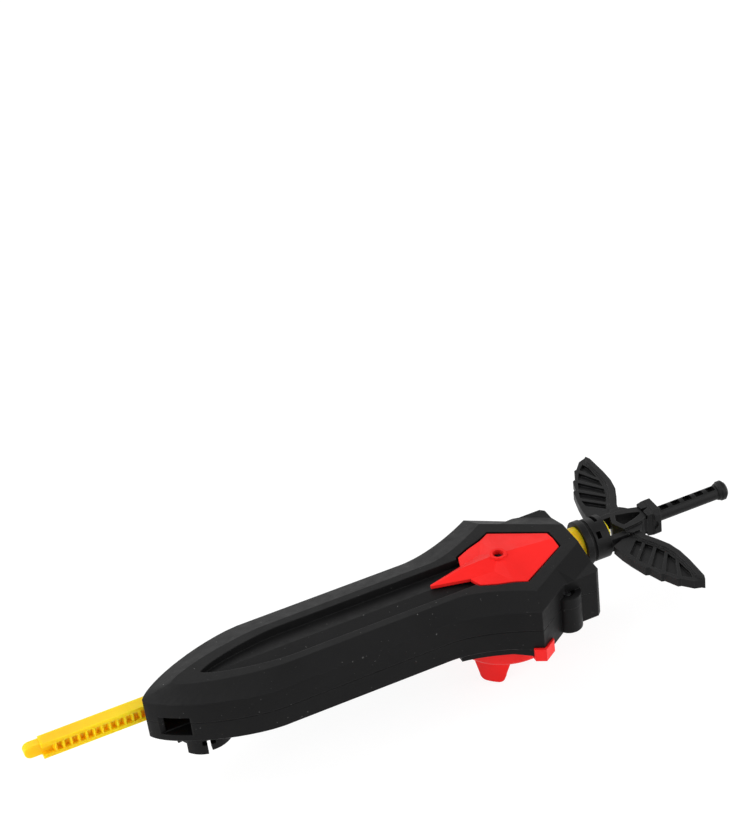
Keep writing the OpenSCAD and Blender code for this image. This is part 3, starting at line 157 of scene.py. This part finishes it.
def painted_edge_highlight(t, rounded, most):
    """Factor of the highlight painted along edges: it rises along edges, unevenly, up to most."""
    flat = t.nodes.new("ShaderNodeNewGeometry")
    turn = t.nodes.new("ShaderNodeVectorMath")
    turn.operation = "DOT_PRODUCT"
    t.links.new(rounded, turn.inputs[0])
    t.links.new(flat.outputs["Normal"], turn.inputs[1])
    edge = ramp(t, turn.outputs["Value"], edge_highlight_band, 0.0, most)
    uneven = ramp(t, noise(t, highlight_patch_scale, 4.0, 0.6), uneven_band, uneven_least, 1.0)
    return calculate(t, "MULTIPLY", edge, uneven)


def moulded(name, base, rough, edge=0.0004, grain=1.0, specks=0.0, under=0.0, coat=0.0, shine=0.35,
            painted_highlight=0.0):
    """Injection-moulded plastic: grain, flow marks, dust specks, soft edges and a painted highlight
    along the edges.

    edge is the radius of the soft edges in metres; grain, specks, under (light carried inside),
    coat and shine are amounts, and the last argument is the amount of the highlight painted along the
    edges.
    """
    m, t, s, _ = new_material(name)
    light = rgb(*[min(1.0, c * light_gain + light_lift) for c in base])
    dark = rgb(*[c * dark_gain for c in base])
    flow = noise(t, flow_scale, 3.0, 0.5)
    tone = mix(t, ramp(t, flow, flow_band, 0.0, 1.0), dark, light)
    if specks > 0:
        dust = ramp(t, noise(t, dust_scale, 2.0, 0.5), dust_band, 0.0, specks)
        tone = mix(t, dust, tone, rgb(*dust_color))
    rounded = rounded_normal(t, edge)
    # painted highlight: a lighter colour painted along the rounded edges
    if painted_highlight > 0:
        tone = mix(t, painted_edge_highlight(t, rounded, painted_highlight), tone, rgb(*edge_highlight_color))
    t.links.new(tone, s.inputs["Base Color"])
    sheen = ramp(t, noise(t, sheen_scale, 5.0, 0.6), sheen_band, rough - sheen_drop, rough + sheen_rise)
    t.links.new(sheen, s.inputs["Roughness"])
    s.inputs["Specular IOR Level"].default_value = shine
    s.inputs["Coat Weight"].default_value = coat
    s.inputs["Coat Roughness"].default_value = coat_rough
    if under > 0:
        s.inputs["Subsurface Weight"].default_value = under
        s.inputs["Subsurface Radius"].default_value = glow_depth
        s.inputs["Subsurface Scale"].default_value = 1.0
    bump(t, s, noise(t, grain_scale, 3.0, 0.6), grain_strength * grain, grain_depth, rounded)
    return m


def metal(name, base, rough):
    """Brushed and lightly scratched metal."""
    m, t, s, _ = new_material(name)
    dark = rgb(*[c * brush_dark for c in base])
    tone = mix(t, noise(t, brush_scale), dark, rgb(*base))
    t.links.new(tone, s.inputs["Base Color"])
    sheen = ramp(t, noise(t, streak_scale), brush_band, rough - brush_drop, rough + brush_rise)
    t.links.new(sheen, s.inputs["Roughness"])
    s.inputs["Metallic"].default_value = 1.0
    bump(t, s, noise(t, scratch_scale), scratch_strength, scratch_depth)
    return m


# the two black plastics get a highlight painted along their edges (their last amount)
black = moulded("black_shell", base=(0.004, 0.004, 0.0042), rough=0.46, edge=0.0005, specks=0.3,
                shine=0.1, painted_highlight=0.12)
black_hilt = moulded("black_hilt", base=(0.0036, 0.0036, 0.0038), rough=0.44, edge=0.0004,
                     grain=0.8, specks=0.15, shine=0.14, painted_highlight=0.3)
black_inner = moulded("dark_inner", base=(0.02, 0.02, 0.021), rough=0.5)
red = moulded("red_gloss", base=(0.93, 0.014, 0.013), rough=0.34, edge=0.0005, grain=0.4,
              under=0.05, coat=0.03, shine=0.14)
red_gem = moulded("red_gem", base=(0.95, 0.019, 0.017), rough=0.44, edge=0.0003, grain=0.5,
                  under=0.05, shine=0.1)
yellow = moulded("yellow_strip", base=(1.0, 0.62, 0.007), rough=0.38, edge=0.00015, grain=0.5,
                 under=0.85, coat=0.02, shine=0.14)
white = moulded("white_socket", base=(0.8, 0.81, 0.84), rough=0.4, grain=0.5, under=0.1)
pin_white = moulded("white_pin", base=(0.82, 0.8, 0.83), rough=0.35, edge=0.0003, grain=0.4,
                    under=0.2)
natural = moulded("natural_acetal", base=(0.72, 0.68, 0.58), rough=0.4, edge=0.0003, grain=0.4)
steel = metal("zinc_steel", base=(0.62, 0.63, 0.65), rough=0.3)
dark_steel = metal("dark_steel", base=(0.06, 0.05, 0.05), rough=0.5)

# every node that isn't named here is zinc steel
paint = {
    "lower_shell": black,
    "upper_shell": black,
    "grip_mount": black,
    "hilt_barrel": black_hilt,
    "wing_left": black_hilt,
    "wing_right": black_hilt,
    "guard_block": black_hilt,
    "pommel_cap": black_hilt,
    "gear_frame": black_inner,
    "bezel_ring": red,
    "turntable_disc": red,
    "emblem_plate": red_gem,
    "emblem_screw": dark_steel,
    "toothed_strip": yellow,
    "socket_block": white,
    "centre_pin": pin_white,
    "lower_bush": natural,
    "upper_bush": natural,
    "drive_gear": natural,
}
for name, piece in nodes.items():
    piece.data.materials.clear()
    piece.data.materials.append(paint.get(name, steel))

# smooth shading across the facets of round walls
round_angle = math.radians(14)
weld_distance = 0.000005
faceted = ("emblem_plate",)


def smoothing(angle):
    """Modifier tree that joins coincident points and smooths edges blunter than the angle."""
    g = bpy.data.node_groups.new("smooth_by_angle", "GeometryNodeTree")
    g.interface.new_socket("Geometry", in_out="INPUT", socket_type="NodeSocketGeometry")
    g.interface.new_socket("Geometry", in_out="OUTPUT", socket_type="NodeSocketGeometry")
    start = g.nodes.new("NodeGroupInput")
    end = g.nodes.new("NodeGroupOutput")
    weld = g.nodes.new("GeometryNodeMergeByDistance")
    weld.inputs["Distance"].default_value = weld_distance
    drop = g.nodes.new("GeometryNodeRemoveAttribute")
    drop.inputs["Name"].default_value = "custom_normal"
    faces = g.nodes.new("GeometryNodeSetShadeSmooth")
    faces.domain = "FACE"
    edges = g.nodes.new("GeometryNodeSetShadeSmooth")
    edges.domain = "EDGE"
    bend = g.nodes.new("GeometryNodeInputMeshEdgeAngle")
    test = g.nodes.new("FunctionNodeCompare")
    test.data_type = "FLOAT"
    test.operation = "LESS_THAN"
    test.inputs["B"].default_value = angle
    g.links.new(start.outputs[0], weld.inputs["Geometry"])
    g.links.new(weld.outputs["Geometry"], drop.inputs["Geometry"])
    g.links.new(drop.outputs["Geometry"], faces.inputs["Geometry"])
    g.links.new(faces.outputs["Geometry"], edges.inputs["Geometry"])
    g.links.new(bend.outputs["Unsigned Angle"], test.inputs["A"])
    g.links.new(test.outputs["Result"], edges.inputs["Shade Smooth"])
    g.links.new(edges.outputs["Geometry"], end.inputs[0])
    return g


soft = smoothing(round_angle)
for name, piece in nodes.items():
    if name not in faceted:
        piece.modifiers.new("smooth", "NODES").node_group = soft

# floor: white to the camera with the shadow kept, a plain reflector to the rest of the light
floor_drop = 0.0006
floor_size = 8
floor_glow = 0.88
shadow_tone = 0.2
floor_tone = 0.9


def seen(tree):
    """One for camera, glossy and transmission rays, nothing for the rest."""
    path = tree.nodes.new("ShaderNodeLightPath")
    value = path.outputs["Is Camera Ray"]
    for kind in ("Is Glossy Ray", "Is Transmission Ray"):
        value = calculate(tree, "MAXIMUM", value, path.outputs[kind])
    return value


def either(t, factor, a, b):
    """Shader a where the factor is nothing, shader b where it is one."""
    n = t.nodes.new("ShaderNodeMixShader")
    t.links.new(factor, n.inputs["Fac"])
    t.links.new(a, n.inputs[1])
    t.links.new(b, n.inputs[2])
    return n.outputs["Shader"]


def diffuse(t, tone):
    n = t.nodes.new("ShaderNodeBsdfDiffuse")
    n.inputs["Color"].default_value = rgb(tone, tone, tone)
    return n.outputs["BSDF"]


def floor_material():
    m, t, unused, surface = new_material("floor_white")
    t.nodes.remove(unused)
    glow = t.nodes.new("ShaderNodeEmission")
    glow.inputs["Color"].default_value = rgb(1, 1, 1)
    glow.inputs["Strength"].default_value = floor_glow
    both = t.nodes.new("ShaderNodeAddShader")
    t.links.new(diffuse(t, shadow_tone), both.inputs[0])
    t.links.new(glow.outputs["Emission"], both.inputs[1])
    above = either(t, seen(t), diffuse(t, floor_tone), both.outputs["Shader"])
    # seen from below the floor is clear, so that the underside shows
    side = t.nodes.new("ShaderNodeNewGeometry")
    clear = t.nodes.new("ShaderNodeBsdfTransparent")
    t.links.new(either(t, side.outputs["Backfacing"], above, clear.outputs["BSDF"]), surface)
    return m


bpy.ops.mesh.primitive_plane_add(size=floor_size, location=(0, 0, low.z - floor_drop))
floor = bpy.context.object
floor.name = "floor"
floor.data.materials.append(floor_material())
floor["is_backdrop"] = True

# world: white where it is seen, a soft level as light
world_level = 0.3
world = bpy.data.worlds.new("studio")
scene.world = world
world.use_nodes = True
sky = world.node_tree
back = sky.nodes["Background"]
back.inputs["Color"].default_value = rgb(1, 1, 1)
level = sky.nodes.new("ShaderNodeMath")
level.operation = "MULTIPLY_ADD"
level.inputs[1].default_value = 1.0 - world_level
level.inputs[2].default_value = world_level
sky.links.new(seen(sky), level.inputs[0])
sky.links.new(level.outputs[0], back.inputs["Strength"])


def area(name, place, aim, size, power):
    """Square lamp at place that looks at aim, with its power in watts."""
    d = bpy.data.lights.new(name, "AREA")
    d.energy = power
    d.size = size
    o = bpy.data.objects.new(name, d)
    scene.collection.objects.link(o)
    o.location = place
    o.rotation_euler = (Vector(aim) - Vector(place)).to_track_quat("-Z", "Y").to_euler()
    o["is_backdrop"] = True


area("key", place=(-0.45, 0.35, 0.9), aim=(-0.04, 0, 0.02), size=0.7, power=5.4)
area("fill", place=(0.8, -0.6, 0.42), aim=(0, 0, 0.02), size=0.9, power=8.4)
area("rim", place=(0.1, 0.9, 0.5), aim=(-0.03, 0, 0.03), size=0.6, power=1.2)
area("side", place=(-0.95, -0.25, 0.3), aim=(-0.06, 0, 0.02), size=0.6, power=5.0)

# camera: stands and looks as a fit of the photograph's lower picture gave it
sensor_mm = 36.0
image_px = 750
focal_px = 2146.67
nearest = 0.01
eye = Vector((-0.246616, -0.554125, 0.519625))
right = Vector((0.904647, -0.413344, -0.103733))
up = Vector((0.313939, 0.481768, 0.818133))
ahead = Vector((0.288195, 0.772687, -0.565595))

cam_data = bpy.data.cameras.new("camera")
cam = bpy.data.objects.new("camera", cam_data)
scene.collection.objects.link(cam)
scene.camera = cam
cam_data.sensor_fit = "HORIZONTAL"
cam_data.sensor_width = sensor_mm
cam_data.lens = focal_px / image_px * sensor_mm
cam_data.clip_start = nearest
turn = Matrix((right, up, -ahead)).transposed()
cam.matrix_world = Matrix.Translation(eye) @ turn.to_4x4()

scene.view_settings.view_transform = "Standard"

low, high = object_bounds()
